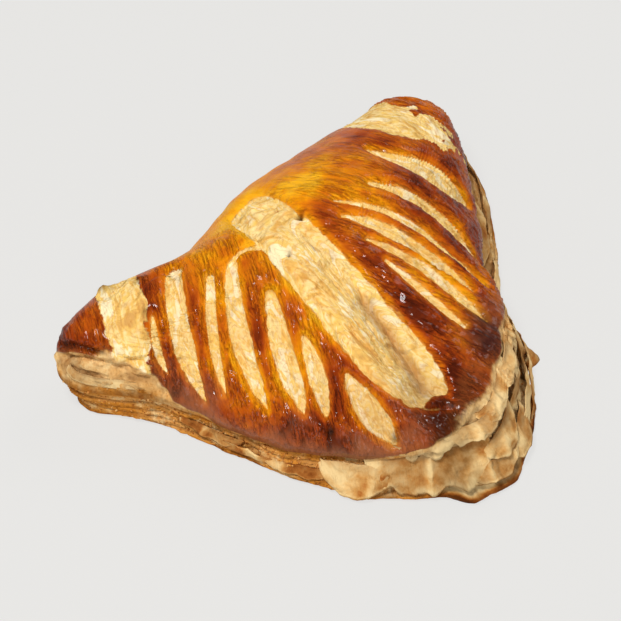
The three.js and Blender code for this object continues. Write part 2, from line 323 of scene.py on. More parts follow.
SHEETS = 4.6  # how many steps the stack shows, fewer at the point
FOLDED = (44, 58, 124, 138)  # angles between which the fold shows no sheets: start, full, leave, end
LIP = 1.3  # thickness of the glazed sheet's edge
NO_LIP = 0.6  # the same round the fold, where the sheet runs on down
STACK_BACK = 0.45  # how far the stack stands back from the brow
FOOT_TUCK = 1.6  # how far the bottom sheet's edge rounds in to the tray


def layered(angle):
    """1 on the cut sides and 0 on the fold."""
    return 1 - between(np.mod(angle, 360), *FOLDED)


def lip_thickness(angle):
    return NO_LIP + (LIP - NO_LIP) * layered(angle)


def wash_end(points, angle):
    """The height at which the egg wash ends over these points."""
    return station(angle, WASH_ENDS) + 1.1 * crumple(points, 0.12, 47, 3) * layered(angle)


def side(angle, level):
    """The smooth side. level runs from 0 under the brow to 1 on the tray."""
    brow = brow_radius(angle)
    base = station(angle, BASE) + 0.6 * wander(angle, 4)
    for at, reach, half in FLAPS:
        base = base + reach * np.exp(-((np.mod(angle, 360) - at) / half)**2) * smooth(0.55, 1, level)
    rolled = base + (brow - base) * np.sqrt(np.clip(1 - level**2, 0, 1))
    stacked = brow - 0.9 + (base - brow + 0.9) * level
    radius = rolled + (stacked - rolled) * layered(angle)
    return around(angle, radius, station(angle, BROW_HEIGHT) * (1 - level))


def folds(points):
    """Deep upright pleats of the tall stack at the point."""
    return crests(points, [0.2, 0.2, 0.035], 19, 3.2)


def bottom_sheet(points, level):
    """1 on the browned sheet that lies on the tray."""
    return smooth(0.84, 0.9, level + 0.03 * lumps(points, 0.3, 31))


def sheet_place(points, level, tall):
    """Which sheet of the stack a point is on, as a number that grows by 1 with each sheet downwards."""
    hem = 0.4 * tall * lumps(points, [0.22, 0.22, 0.03], 9)
    return (SHEETS - 1.9 * tall) * level + 0.7 * crumple(points, [0.045, 0.045, 0.1], 11, 3) + hem


def side_relief(points, angle, level):
    """How far the stack stands out from the smooth side, in millimetres."""
    tall = smooth(7, 17, station(angle, BROW_HEIGHT)) * smooth(226, 246, np.mod(angle, 360))
    place = sheet_place(points, level, tall)
    sheet = np.floor(place)
    part = place - sheet
    step = lumps(np.stack([points[:, 0], points[:, 1], 17.3 * sheet], 1), [0.075, 0.075, 1], 13)
    edge = 0.65 * (1 - np.abs(2 * part - 1)**3)
    thin = 0.16 * np.sin(2 * np.pi * (part * (2.5 + 3 * tall) + 0.6 * lumps(points, [0.2, 0.2, 0.4], 17)))
    pleats = 1.6 * folds(points) + 0.9 * crests(points, [0.36, 0.36, 0.06], 23, 4)
    torn = smooth(0.12, 0.2, lumps(points, [0.13, 0.13, 0.3], 29))
    crumbly = 0.25 * crumple(points, 0.8, 37, 2)
    relief = 1.1 * step + edge * (1 - 0.4 * tall) + thin
    relief += crumbly - tall * pleats - (0.4 + 0.9 * tall) * torn
    tray_sheet = bottom_sheet(points, level)
    tray_relief = 0.9 + 0.4 * lumps(points, [0.15, 0.15, 0.6], 41) + 0.5 * crumbly
    relief = relief * (1 - tray_sheet) + tray_sheet * tray_relief
    cut = layered(angle)
    return cut * (relief - 0.7) + (1 - cut) * 0.2 * crumple(points, 0.15, 43, 3), part


# ---- One skin over the whole pastry ------------------------------------------
# The pastry is one closed body of baked dough, browner and glossier where it was washed with egg.

COLUMNS = 720  # points round a full ring
CORE_COLUMNS = 45  # the fewest round a ring, near the middle
TOP_RINGS = 136
LIP_RINGS = 4
SIDE_RINGS = 38
BASE_SHARES = (0.985, 0.93, 0.8, 0.62, 0.42, 0.22)
SKIN_DEPTH = 1.0  # how far the skin lies inside the smooth dome, as room for its relief
WASH_SLANT = 0.9  # millimetres along the surface for one of height, where the egg wash ends


def columns_at(share):
    """How many points a ring has: fewer nearer the middle, halved each time."""
    columns = COLUMNS
    while columns > CORE_COLUMNS and columns > 1.15 * COLUMNS * share:
        columns //= 2
    return columns


def ring_places():
    """Each ring as (part, columns, second value), from the middle of the top to the middle of the base."""
    rings = []
    for i in range(1, TOP_RINGS + 1):
        t = i / TOP_RINGS
        share = 0.35 * t + 0.65 * math.sin(t * math.pi / 2)
        rings.append(("top", columns_at(share), share))
    rings += [("lip", COLUMNS, i / LIP_RINGS) for i in range(1, LIP_RINGS + 1)]
    rings += [("side", COLUMNS, i / SIDE_RINGS) for i in range(SIDE_RINGS + 1)]
    rings += [("base", columns_at(share), share) for share in BASE_SHARES]
    return rings


def skin_faces(counts):
    """Triangles over rings with these counts of points, the first and last closed by a middle point."""
    starts = np.concatenate([[1], 1 + np.cumsum(counts)])
    faces = [(0, 1 + i, 1 + (i + 1) % counts[0]) for i in range(counts[0])]
    for k in range(len(counts) - 1):
        inner, outer = counts[k], counts[k + 1]
        few = min(inner, outer)
        inner_step, outer_step = inner // few, outer // few
        for i in range(few):
            a = [starts[k] + (i * inner_step + j) % inner for j in range(inner_step + 1)]
            b = [starts[k + 1] + (i * outer_step + j) % outer for j in range(outer_step + 1)]
            if inner_step == 2:
                faces += [(a[0], b[0], a[1]), (a[1], b[0], b[1]), (a[1], b[1], a[2])]
            else:
                faces += [(a[0], b[0], b[1]), (a[0], b[1], a[1])]
                if outer_step == 2:
                    faces.append((a[1], b[1], b[2]))
    last, end = starts[-2:]
    faces += [(end, last + (i + 1) % counts[-1], last + i) for i in range(counts[-1])]
    return faces


rings = ring_places()
part_of = np.concatenate([np.full(n, part) for part, n, _ in rings])
angle_of = np.concatenate([np.arange(n) * 360 / n for _, n, _ in rings])
value_of = np.concatenate([np.full(n, value) for _, n, value in rings])
on_top, on_lip, on_side, on_base = (part_of == part for part in ("top", "lip", "side", "base"))

place = np.zeros((len(part_of), 3))

# The top: a smooth dome, with the openings sunk into it and the strips between them raised and wrinkled.
top_angle, top_share = angle_of[on_top], value_of[on_top]
top = dome(top_angle, top_share)
normal = outward(dome, top_angle, top_share, (0.25, 0.004))
flow = grain(top)

# How far inside each of the top's areas its points lie, in millimetres.
torn = ragged(top)
score = np.max([inside(top, s) + torn * min(0.55, 0.11 * s["width"]) for s in SCORES], axis=0)
midrib = inside(top, MIDRIB) + 0.8 * torn
mottle = smooth(48, 58, top[:, 0]) * (4.4 * crumple(top, 0.36, 157, 2) - 0.8)
mottle += smooth(-56, -62, top[:, 0]) * (2.8 * crumple(top, 0.3, 181, 2) - 0.7)
bare = np.maximum(inside(top, LEFT_BARE), inside(top, RIGHT_BARE)) + 1.6 * torn + mottle
washed = (top[:, 2] - wash_end(top, top_angle)) * WASH_SLANT
opening = np.minimum(np.maximum(score, midrib), 0.8 * torn - inside(top, FLAKE))
unwashed = np.maximum(bare, -washed)
sunk = np.maximum(opening, unwashed)
in_midrib = smooth(0.5, 3, midrib)
in_score = smooth(0, 0.8, score)

# The scores' floors show fibres and torn sheets, and blistered sheets are pulled up along the midrib.
strip = 1.6 * (1 - np.exp(np.minimum(opening, 0) / 1.3))  # rounded shoulders of the washed strips
floor_depth = 1.3 * smooth(-0.35, 0.6, opening) * (1 - 0.35 * smooth(2, 8, midrib))
fibre_flow = flow * np.array([0.16, 1.3, 0.0]) + 0.6 * crumple(top, 0.25, 53, 2)[:, None]
fibres = crests(fibre_flow, 1, 59, 2.4)
floor_sheets, floor_edges = flaky(flow * np.array([0.09, 0.42, 0.2]), 1, 109, 5)
blisters = crumple(flow * np.array([0.12, 0.24, 0.15]), 1, 61, 3, 0.5)
band_sheets, band_edges = flaky(flow * np.array([0.07, 0.2, 0.12]), 1, 113, 5)
relief = strip - floor_depth
relief -= 0.4 * smooth(0, 0.8, unwashed) * (1 - smooth(-1, 0, opening))
torn_floor = 0.3 * fibres + 0.9 * floor_sheets - 0.2 + 0.12 * crumple(top, 0.7, 71, 2)
relief += smooth(0, 0.8, opening) * torn_floor
relief += in_midrib * (1.2 * blisters + 1.9 * band_sheets - 0.6)

# The washed strips are wrinkled along the scores, least by the fold.
wrinkles = crumple(flow * np.array([0.2, 0.9, 0.3]) + 0.4 * lumps(top, 0.2, 127)[:, None], 1, 67, 3)
ridges = crests(flow * np.array([0.3, 1.15, 0.3]), 1, 131, 3)
wrinkled = np.maximum(smooth(46, 22, top[:, 1]), smooth(50, 58, np.abs(top[:, 0] + 5)))
wrinkled *= 0.45 + 0.55 * smooth(0.9, 2.2, -opening)
waves = 0.25 * crumple(top, 0.09, 79, 3)
relief += (1 - smooth(-1, 0.4, sunk)) * (wrinkled * (0.3 * wrinkles + 0.34 * ridges) + waves)

# The bare strips are flaky, more at the left corner.
pale_sheets, pale_edges = flaky(top, [0.1, 0.16, 0.2], 83, 6)
pale_zone = smooth(0, 1, unwashed)
pale_flakes = 1.9 * pale_sheets - 0.7 + 0.55 * crumple(top, 0.35, 87, 3)
relief += pale_zone * (1 - 0.7 * smooth(-10, 10, top[:, 0])) * pale_flakes

# Creases, nubs and steam holes.
relief -= sum(crease["depth"] * groove(top, crease) for crease in CREASES)
relief += 1.3 * near_spots(top, NUBS) - 1.6 * near_spots(top, HOLES)

# Below the egg wash at the point the pleated sheets reach over the brow, and the left corner is ridged.
over_brow = between(top_angle, 250, 264, 320, 335) * smooth(0.3, -1.4, washed)
brow_pleat = folds(top)
brow_sheets, brow_edges = flaky(top, [0.05, 0.05, 0.3], 173, 4)
relief += over_brow * (2.2 * brow_sheets - 0.9 - 1.4 * brow_pleat + 0.35 * crumple(top, 0.6, 179, 2))
corner_fold = between(top_angle, 151, 157, 168, 174) * smooth(24, 22, top[:, 2])
corner_ridge = crests(top, [0.12, 0.12, 0.34], 163, 2.4)
relief += corner_fold * (1.4 * corner_ridge - 1.5 + 0.35 * crumple(top, [0.5, 0.5, 0.9], 167, 2))

# All of it fades out at the brow, sooner on the fold.
fade_at_brow = smooth(1.0, 0.994 - 0.06 * (1 - layered(top_angle)), top_share)
place[on_top] = top + normal * ((relief - SKIN_DEPTH) * fade_at_brow)[:, None]

# The lip: the glazed sheet's rounded edge turns under, back to the stack.
lip_angle, lip_turn = angle_of[on_lip], value_of[on_lip] * math.pi / 2
brow = dome(lip_angle, np.ones(len(lip_angle)))
lip_in = layered(lip_angle) * (STACK_BACK + 1.2 * (1 - np.cos(lip_turn)))
place[on_lip] = brow - radial(lip_angle) * lip_in[:, None]
place[on_lip, 2] = brow[:, 2] - lip_thickness(lip_angle) * np.sin(lip_turn)

# The side: the stack of sheets from under the lip to the tray.
side_angle, side_level = angle_of[on_side], value_of[on_side]
smooth_side = side(side_angle, side_level)
side_out, sheet_part = side_relief(smooth_side, side_angle, side_level)
stack = smooth_side.copy()
stack[:, 2] = (station(side_angle, BROW_HEIGHT) - lip_thickness(side_angle)) * (1 - side_level)
tuck = FOOT_TUCK * smooth(1.6, 0, stack[:, 2])**2
cut = layered(side_angle)
fold_foot = 0.4 * (1 - cut) * (stack[:, 2] < 1)
out = side_out * smooth(0, 0.06, side_level) - (STACK_BACK + tuck) * cut - fold_foot
place[on_side] = stack + radial(side_angle) * out[:, None]

# The base: flat on the tray.
foot = place[on_side][-COLUMNS:]
for part, n, share in rings:
    if part == "base":
        ring = on_base & (value_of == share)
        place[ring, :2] = MIDDLE + (foot[:: COLUMNS // n, :2] - MIDDLE) * share

faces = skin_faces([n for _, n, _ in rings])
top_middle = on_dome([MIDDLE + 1e-6])[0] + np.array([0, 0, -1.2])
points = np.vstack([[top_middle], place, [[*MIDDLE, 0]]])

# ---- What the oven did, and painted shade and light --------------------------
# Each point of the skin keeps a value of each of these looks, for the material to read. The first three are
# millimetres inside an area of the top, along and across are millimetres by the scores, the lift shading
# runs from -1 to 1 and the rest from 0 to about 1. The crevice shade, the shade and the lift shading are
# painted shade and light, and the hole look is painted shade in the holes and the corner slit, and browner
# nubs.

LOOKS = ("opening", "wash", "bare_corner", "bake", "toast", "crevice", "hole_shade_and_nub_brown", "scorch", "shade", "lift_shading",
         "dull", "along", "across")
OFF_TOP = {"opening": -6.0, "wash": -9.0, "bare_corner": -4.0}


def baked(points):
    """How gold (1) the dough is, and how brown, from 0 to 1, by where it lay in the oven."""
    x, y, z = points.T
    golden = smooth(-4, 38, y + 0.25 * z - 14) * smooth(44, 10, np.abs(x + 5))
    at_point = np.exp(-((x + 4)**2 + (y + 38)**2) / 15**2)
    brown = 0.42 - 0.34 * golden + 0.36 * at_point
    brown += 0.08 * smooth(25, 15, z) * (1 - golden) + 0.25 * smooth(9, 1, z) * golden
    return golden, brown + 0.22 * crumple(points, 0.085, 89, 3) + 0.08 * crumple(points, 0.4, 97, 2)


looks = {name: np.zeros(len(part_of)) for name in LOOKS}

# The top is darker where it slopes, and browner away from the openings' edges. Beside the upper midrib it is
# paler on the left and browner on the right.
x, y, z = top.T
golden, bake = baked(top)
bake += 0.06 * smooth(0.75, 0.15, normal[:, 2])
from_edge = 0.24 * smooth(0.9, 1.9, -opening + 0.5 * torn) - 0.06 * smooth(1.2, 0.2, -opening)
bake += from_edge * (1 - 0.75 * golden)
bake -= 0.16 * smooth(-5.5, -1, midrib) * smooth(-6, -10, x) * smooth(-6, 2, y)
bake += 0.16 * smooth(-10, -4, midrib) * smooth(0, 5, x) * smooth(30, 8, y)
looks["bake"][on_top] = bake
looks["opening"][on_top] = opening
looks["wash"][on_top] = washed
looks["bare_corner"][on_top] = bare
# Painted shade darkens the steam holes and the corner slit; the nubs are darker as browned glaze.
dark = [near_spots(top, HOLES), 0.6 * near_spots(top, NUBS), 0.75 * groove(top, CORNER_SLIT)**2]
looks["hole_shade_and_nub_brown"][on_top] = np.max(dark, axis=0)
looks["scorch"][on_top] = near_spots(top, SCORCHED)

# Painted shade and light: hollows between the sheets and fibres, creases and pleats are darkened in colour,
# with a little random darkening too, raised sheets are painted paler and low ones darker, and the lower
# midrib and the far ends of the scores are shaded.
in_furrow = groove(top, MIDRIB_FURROW)
crevice = 0.15 * np.clip(-crumple(top, 0.3, 101, 2), 0, 1)
crevice += in_midrib * (0.55 * band_edges + 0.5 * in_furrow**2)
crevice += in_score * (0.45 * floor_edges + 0.12 * (1 - fibres))
crevice += pale_zone * 0.6 * pale_edges + corner_fold * 0.7 * smooth(0.3, 0.0, corner_ridge)
crevice += over_brow * np.maximum(0.7 * brow_edges, 0.5 * brow_pleat)
looks["crevice"][on_top] = np.clip(crevice, 0, 1)
# Painted light and shade by height: raised sheets and fibres are made paler in colour and low ones darker.
lift_shading = in_midrib * np.clip(blisters + 2 * band_sheets - 0.9, -1, 1)
lift_shading += in_score * (fibres - 0.3) + pale_zone * np.clip(2 * pale_sheets - 0.9, -1, 1)
looks["lift_shading"][on_top] = lift_shading
shade = 0.35 * smooth(0, -32, y) * smooth(32, 24, z) + 0.5 * smooth(22, 30, -y) * smooth(2, 6, score)
looks["shade"][on_top] = shade + 0.6 * in_midrib * in_furrow

# The glaze is thin and dull low on the cut sides, and the left corner's foot is toasted.
low = washed + 3 * crumple(top, 0.15, 137, 2)
dull = smooth(10, 2, low) * between(top_angle, 168, 182, 246, 262)
dull += 0.6 * smooth(6, 1, low) * smooth(296, 312, top_angle)
corner_foot = between(top_angle, 144, 151, 167, 176) * smooth(16, 13.5, z + 1.4 * crumple(top, 0.3, 139, 2))
looks["dull"][on_top] = dull + np.maximum(0.9 * corner_foot, 0.4 * corner_fold)
looks["toast"][on_top] = 0.14 + corner_foot * (0.42 + 0.35 * crumple(top, 0.7, 149, 2))

# The lip and the side are outside the openings, and washed only where the wash ran down over them.
for part, angles in ((on_lip, lip_angle), (on_side, side_angle)):
    at_brow = dome(angles, np.ones(len(angles)))
    looks["wash"][part] = (place[part][:, 2] - wash_end(at_brow, angles)) * WASH_SLANT
    for look in ("opening", "bare_corner"):
        looks[look][part] = OFF_TOP[look]
    looks["bake"][part] = baked(place[part])[1] + 0.12 * layered(angles)
    looks["dull"][part] = (between(angles, 142, 152, 246, 262)
                           + 0.6 * smooth(322, 334, angles) + 0.6 * smooth(36, 24, angles))

# The stack's own edges are toasted, most on the tray, to the right of the point and down the left side.
to_next_sheet = np.minimum(sheet_part, 1 - sheet_part)
# Painted shade darkens the colour where each sheet of the stack meets the next.
looks["crevice"][on_side] = layered(side_angle) * (1 - smooth(0.0, 0.22, to_next_sheet))
toast = 0.25 * side_out + 0.45 * crumple(smooth_side, [0.1, 0.1, 0.3], 103, 3)
toast += 0.8 * bottom_sheet(smooth_side, side_level)
upper = smooth(0.34, 0.22, side_level + 0.06 * lumps(smooth_side, 0.2, 151))
toast += 0.7 * between(side_angle, 284, 292, 316, 330) * upper
toast += 0.36 * between(side_angle, 172, 180, 228, 240)
toast += 0.3 * between(side_angle, 143, 150, 168, 176)
looks["toast"][on_side] = toast
looks["toast"][on_lip] = 0.3 + 0.4 * between(lip_angle, 143, 150, 168, 178)
looks["toast"][on_base] = 0.75
for look in ("opening", "wash"):
    looks[look][on_base] = OFF_TOP[look]
looks["along"], looks["across"], _ = grain(place).T

# The skin is fitted into the space that the solid holds, and the loose sheets and crumbs move with it.
room_low, room_high = (np.array(corner) * 1000 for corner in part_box("turnover"))
room_middle = ((room_low + room_high) / 2)[:2]
skin_low, skin_high = points.min(0), points.max(0)
shrink = np.minimum(1, (room_high - room_low) / (skin_high - skin_low))[:2]
shift = room_middle - ((skin_low + skin_high) / 2)[:2]


def fitted(points):
    """Points moved from the pastry's own millimetres into the solid's."""
    moved = np.array(points)
    moved[:, :2] = room_middle + (moved[:, :2] + shift - room_middle) * shrink
    return np.clip(moved, room_low, room_high)


def solid(name, points, faces, looks):
    """A mesh object in metres, with a value of each kind at every point for its material to read."""
    mesh = bpy.data.meshes.new(name)
    mesh.from_pydata((np.asarray(points) / 1000).tolist(), [], [tuple(int(v) for v in f) for f in faces])
    for key, values in looks.items():
        mesh.attributes.new(key, "FLOAT", "POINT").data.foreach_set("value", np.asarray(values, np.float32))
    mesh.shade_smooth()
    mesh.validate()
    made = bpy.data.objects.new(name, mesh)
    bpy.context.scene.collection.objects.link(made)
    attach(made, "root")
    return made


def joined(shells):
    """The points and faces of several closed shells, as one."""
    starts = np.cumsum([0] + [len(points) for points, _ in shells])
    faces = [faces + start for (_, faces), start in zip(shells, starts)]
    return np.vstack([points for points, _ in shells]), np.vstack(faces)


def plain_looks(count, **given):
    """The looks of bare dough that isn't part of the top, apart from those given."""
    plain = {name: np.full(count, OFF_TOP.get(name, 0.0)) for name in LOOKS}
    return {**plain, **given}


with_middles = {name: np.concatenate([v[:1], v, v[-1:]]) for name, v in looks.items()}
pastry = solid("pastry", fitted(points), faces, with_middles)
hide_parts("turnover")


# ---- The loose sheets of the cut sides ---------------------------------------
# Torn sheets stand off the stack: a tall pleated one round the point, terraces beside it, long ridges and
# a bulging sheet to the right of it, and small ones along both sides. Each is thin, ragged and closed.

# From and to angle, level where attached and level of the free edge, how far that stands off, and how
# brown. Levels below 0 are on the top, over the brow.
SHEETS_OFF = [
    (238, 271, 0.04, 0.8, 0.7, 0.1),
    (224, 246, 0.2, 0.84, 0.5, 0.15),
    (246, 264, -0.8, 0.2, 1.0, -0.1),
    (259, 277, -2.2, 0.3, 1.2, -0.05),
    (270, 286, -3.0, 0.2, 1.0, 0.05),
    (282, 300, -2.4, 0.25, 1.1, 0.0),
    (296, 318, -1.4, 0.2, 1.0, 0.05),
    (268, 284, 0.16, 0.52, 1.2, 0.1),
    (263, 281, 0.42, 0.74, 1.3, 0.12),
    (276, 290, 0.5, 0.82, 1.3, 0.15),
    (284, 330, 0.4, 0.12, 1.1, 0.0),
    (286, 328, 0.78, 0.42, 1.4, 0.0),
    (291, 324, 1.0, 0.66, 1.7, 0.2),
    (158, 169, -0.9, -0.2, 0.6, -0.1),
    (176, 197, 0.35, 0.62, 0.5, 0.35),
    (188, 212, 0.72, 0.4, 0.6, 0.25),
    (204, 227, 0.45, 0.75, 0.6, 0.3),
    (328, 352, 0.85, 0.5, 1.1, 0.1),
    (346, 370, 0.1, 0.5, 0.8, 0.2),
    (358, 392, 0.85, 0.5, 1.2, 0.1),
    (376, 396, 0.2, 0.5, 0.7, 0.2),
]
SHEET_THICK = 0.4
SHEET_MESH = 0.55  # the distance between a sheet's mesh lines


def shell_faces(m, n):
    """Faces of a closed shell: two grids of m by n cells back to back, joined round their rim."""
    count = (m + 1) * (n + 1)
    grid = np.arange(count).reshape(m + 1, n + 1)
    a, b, c, d = (corner.ravel() for corner in (grid[:-1, :-1], grid[1:, :-1], grid[1:, 1:], grid[:-1, 1:]))
    rim = np.concatenate([grid[:, 0], grid[-1, 1:], grid[-2::-1, -1], grid[0, -2:0:-1]])
    after = np.roll(rim, -1)
    outer = [(a, c, b), (a, d, c)]
    inner = [(a + count, b + count, c + count), (a + count, c + count, d + count)]
    edge = [(rim, after, after + count), (rim, after + count, rim + count)]
    return np.concatenate([np.stack(corners, 1) for corners in outer + inner + edge])


def torn_sheet(from_angle, to_angle, attached, free, off, brown, seed):
    """One loose sheet that follows the side: points, faces, toast and painted crevice shade of a closed thin
    shell.
    """
    middle_angle = np.array([(from_angle + to_angle) / 2])
    length = math.radians(to_angle - from_angle) * station(middle_angle, BROW)[0]
    height = max(abs(free - attached) * 12, 7)
    m, n = max(6, int(length / SHEET_MESH)), max(5, int((height + off) / SHEET_MESH))
    u = np.repeat(np.linspace(0, 1, m + 1), n + 1)
    v = np.tile(np.linspace(0, 1, n + 1), m + 1)
    at_ends = np.sin(np.pi * np.clip(u, 0, 1))**0.4  # 0 at both ends of the sheet and 1 between

    # Where the sheet would lie flat on the top or the side, with a ragged free edge.
    flat = np.stack([u * length, v * height, 0 * u], 1)
    rag = 0.12 * crumple(np.stack([u * length, 0 * u, 0 * u], 1), 0.3, seed, 4)
    angle = from_angle + (to_angle - from_angle) * u + 0.8 * lumps(flat, 0.4, seed + 1)
    level = attached + (free - attached) * v * np.clip(0.3 + 0.65 * at_ends + rag, 0.1, 1.1)
    over_top = dome(angle, 1 + 0.02 * np.minimum(level, 0))
    middle = np.where(level[:, None] < 0, over_top, side(angle, np.clip(level, 0, 1)))

    # How far it stands off there, pleated and curling outwards to its free edge.
    pleats = smooth(0, 1, 1 - 2.2 * np.abs(lumps(middle, [0.14, 0.14, 0.03], seed + 2)))
    curl = (off * v**1.6 + 1.4 * pleats * v**0.4 * (1 - 0.7 * v**3)) * at_ends
    curl += 0.35 * crumple(middle, 0.35, seed + 3, 3) - 0.9 * (1 - at_ends)
    outer = middle + radial(angle) * curl[:, None]
    inner = outer - radial(angle) * (SHEET_THICK * (1 - 0.6 * v))[:, None]

    toast = 0.24 + brown + 0.2 * crumple(middle, 0.3, seed + 4, 3) - 0.25 * smooth(0.4, 1, pleats)
    toast += 0.3 * smooth(0.97, 1, v) - 0.25 * smooth(0.8, 0.97, v)
    # Painted shade: darker near the attached edge and between the pleats, and darker still on the sheet's
    # back.
    crevice = 0.5 * smooth(0.3, 0, v) * at_ends + 0.55 * smooth(0.5, 0, pleats)
    both_crevices = np.concatenate([crevice, np.full(len(u), 0.6)])
    return np.vstack([outer, inner]), shell_faces(m, n), np.tile(toast, 2), both_crevices


loose = [torn_sheet(*sheet, 200 + 10 * number) for number, sheet in enumerate(SHEETS_OFF)]
loose_points, loose_faces = joined([sheet[:2] for sheet in loose])
loose_toast, loose_crevice = (np.concatenate([sheet[look] for sheet in loose]) for look in (2, 3))
loose_along, loose_across, _ = grain(loose_points).T
loose_looks = plain_looks(len(loose_points), toast=loose_toast, crevice=loose_crevice,
                          along=loose_along, across=loose_across)
sheets = solid("loose_sheets", fitted(loose_points), loose_faces, loose_looks)

# ---- Crumbs ------------------------------------------------------------------
# Crumbs of browned crust cling to the lower sheets, thickest under the left corner and along the left
# cut side, and a few lie on the bare strips.

CRUMBS = 800
CRUMB_RADIUS = (0.12, 0.36)
CRUMB_STRETCH = (0.6, 1.3)
CRUMB_TOAST = (0.3, 0.7)

ball = bmesh.new()
bmesh.ops.create_icosphere(ball, subdivisions=2, radius=1)
ball_points = np.array([v.co for v in ball.verts])
ball_faces = np.array([[v.index for v in f.verts] for f in ball.faces])
ball.free()

dice = np.random.default_rng(11)
left_side = between(angle_of, 150, 156, 236, 246)
on_sheets = on_side * (0.06 + left_side) * (value_of < 0.8) * (value_of > 0.1) * (layered(angle_of) > 0.9)
on_bare_dough = on_top * 0.004 * (np.maximum(looks["opening"], looks["bare_corner"]) > 0.6)
chance = on_sheets + on_top * (looks["toast"] > 0.3) + on_bare_dough
seats = place[dice.choice(len(place), CRUMBS, p=chance / chance.sum())]
shells, crumb_toast = [], []
for number, seat in enumerate(seats):
    crumb = ball_points * dice.uniform(*CRUMB_STRETCH, 3) * dice.uniform(*CRUMB_RADIUS)
    radius = np.linalg.norm(crumb, axis=1).mean()
    crumb += 0.3 * radius * lumps(ball_points, 1.2, number)[:, None] * ball_points
    shells.append((seat + crumb, ball_faces))
    crumb_toast.append(np.full(len(ball_points), dice.uniform(*CRUMB_TOAST)))
crumb_points, crumb_faces = joined(shells)
crumb_looks = plain_looks(len(crumb_points), toast=np.concatenate(crumb_toast))
crumbs = solid("crumbs", fitted(crumb_points), crumb_faces, crumb_looks)

# ---- What it is made of ------------------------------------------------------
# Baked laminated dough: matt and cream inside, brown and glossy where it was washed with egg.


class Value:
    """A socket in a material, so that a sum on sockets can be written as a sum."""

    def __init__(self, finish, socket):
        self.finish = finish
        self.socket = socket

    def maths(self, operation, *inputs):
        return self.finish.node("ShaderNodeMath", {"operation": operation}, dict(enumerate(inputs)))

    def __add__(self, other):
        return self.maths("ADD", self, other)

    def __sub__(self, other):
        return self.maths("SUBTRACT", self, other)

    def __rsub__(self, other):
        return self.maths("SUBTRACT", other, self)

    def __mul__(self, other):
        return self.maths("MULTIPLY", self, other)

    __radd__ = __add__

    def step(self, low, high):
        """0 below low, 1 above high, smooth between; low may be the larger."""
        inputs = {"Value": self, "From Min": low, "From Max": high}
        return self.finish.node("ShaderNodeMapRange", {"interpolation_type": "SMOOTHSTEP"}, inputs)

    def size(self):
        return self.maths("ABSOLUTE", self)

    def fraction(self):
        return self.maths("FRACT", self)

    def most(self, other):
        return self.maths("MAXIMUM", self, other)


def tint(red, green, blue):
    """A colour from its 0 to 255 values, as light."""
    parts = [c / 255 for c in (red, green, blue)]
    return tuple(c / 12.92 if c <= 0.04045 else ((c + 0.055) / 1.055)**2.4 for c in parts) + (1.0,)


class Finish:
    """A material's node tree."""

    def __init__(self, name):
        self.material = bpy.data.materials.new(name)
        self.material.use_nodes = True
        self.tree = self.material.node_tree
        self.tree.nodes.clear()

    def node(self, kind, settings=None, inputs=None, output=0):
        made = self.tree.nodes.new(kind)
        for key, value in (settings or {}).items():
            setattr(made, key, value)
        for key, value in (inputs or {}).items():
            if isinstance(value, Value):
                self.tree.links.new(value.socket, made.inputs[key])
            else:
                made.inputs[key].default_value = value
        return Value(self, made.outputs[output]) if made.outputs else None

    def kept(self, name):
        """A value stored at the mesh's points."""
        return self.node("ShaderNodeAttribute", {"attribute_name": name}, output="Fac")

    def place(self, scale=(1.0, 1.0, 1.0)):
        """Where on the object, in millimetres."""
        metres = self.node("ShaderNodeTexCoord", output="Object")
        inputs = {0: metres, 1: tuple(1000 * s for s in scale)}
        return self.node("ShaderNodeVectorMath", {"operation": "MULTIPLY"}, inputs)

    def grained(self, along, across, deep):
        """Places measured along and across the scores."""
        return self.node("ShaderNodeCombineXYZ", {}, {
            "X": self.kept("along") * along, "Y": self.kept("across") * across,
            "Z": self.node("ShaderNodeSeparateXYZ", {}, {0: self.place()}, output="Z") * deep})

    def noise(self, vector, scale, detail, roughness, distortion=0.0):
        inputs = {"Vector": vector, "Scale": scale, "Detail": detail, "Roughness": roughness,
                  "Distortion": distortion}
        return self.node("ShaderNodeTexNoise", {}, inputs)

    def ramp(self, factor, *stops):
        """Colours along a factor, each stop a place and a colour from its 0 to 255 values."""
        made = self.node("ShaderNodeValToRGB", {}, {"Fac": factor})
        elements = made.socket.node.color_ramp.elements
        elements.remove(elements[-1])
        for i, (at, tone) in enumerate(stops):
            element = elements.new(at) if i else elements[0]
            element.position = at
            element.color = tint(*tone)
        return made

    def blend(self, factor, low, high):
        return self.node("ShaderNodeMix", {"data_type": "RGBA"}, {0: factor, 6: low, 7: high}, output=2)

    def stain(self, colour, tone, amount):
        """A colour with some of another tone over it."""
        return self.blend(amount, colour, tint(*tone))

    def bump(self, height, strength, distance, normal=None):
        inputs = {"Height": height, "Strength": strength, "Distance": distance}
        if normal is not None:
            inputs["Normal"] = normal
        return self.node("ShaderNodeBump", {}, inputs)

    def surface(self, **sockets):
        inputs = {name.replace("_", " "): value for name, value in sockets.items()}
        shader = self.node("ShaderNodeBsdfPrincipled", {}, inputs)
        self.node("ShaderNodeOutputMaterial", {}, {"Surface": shader})


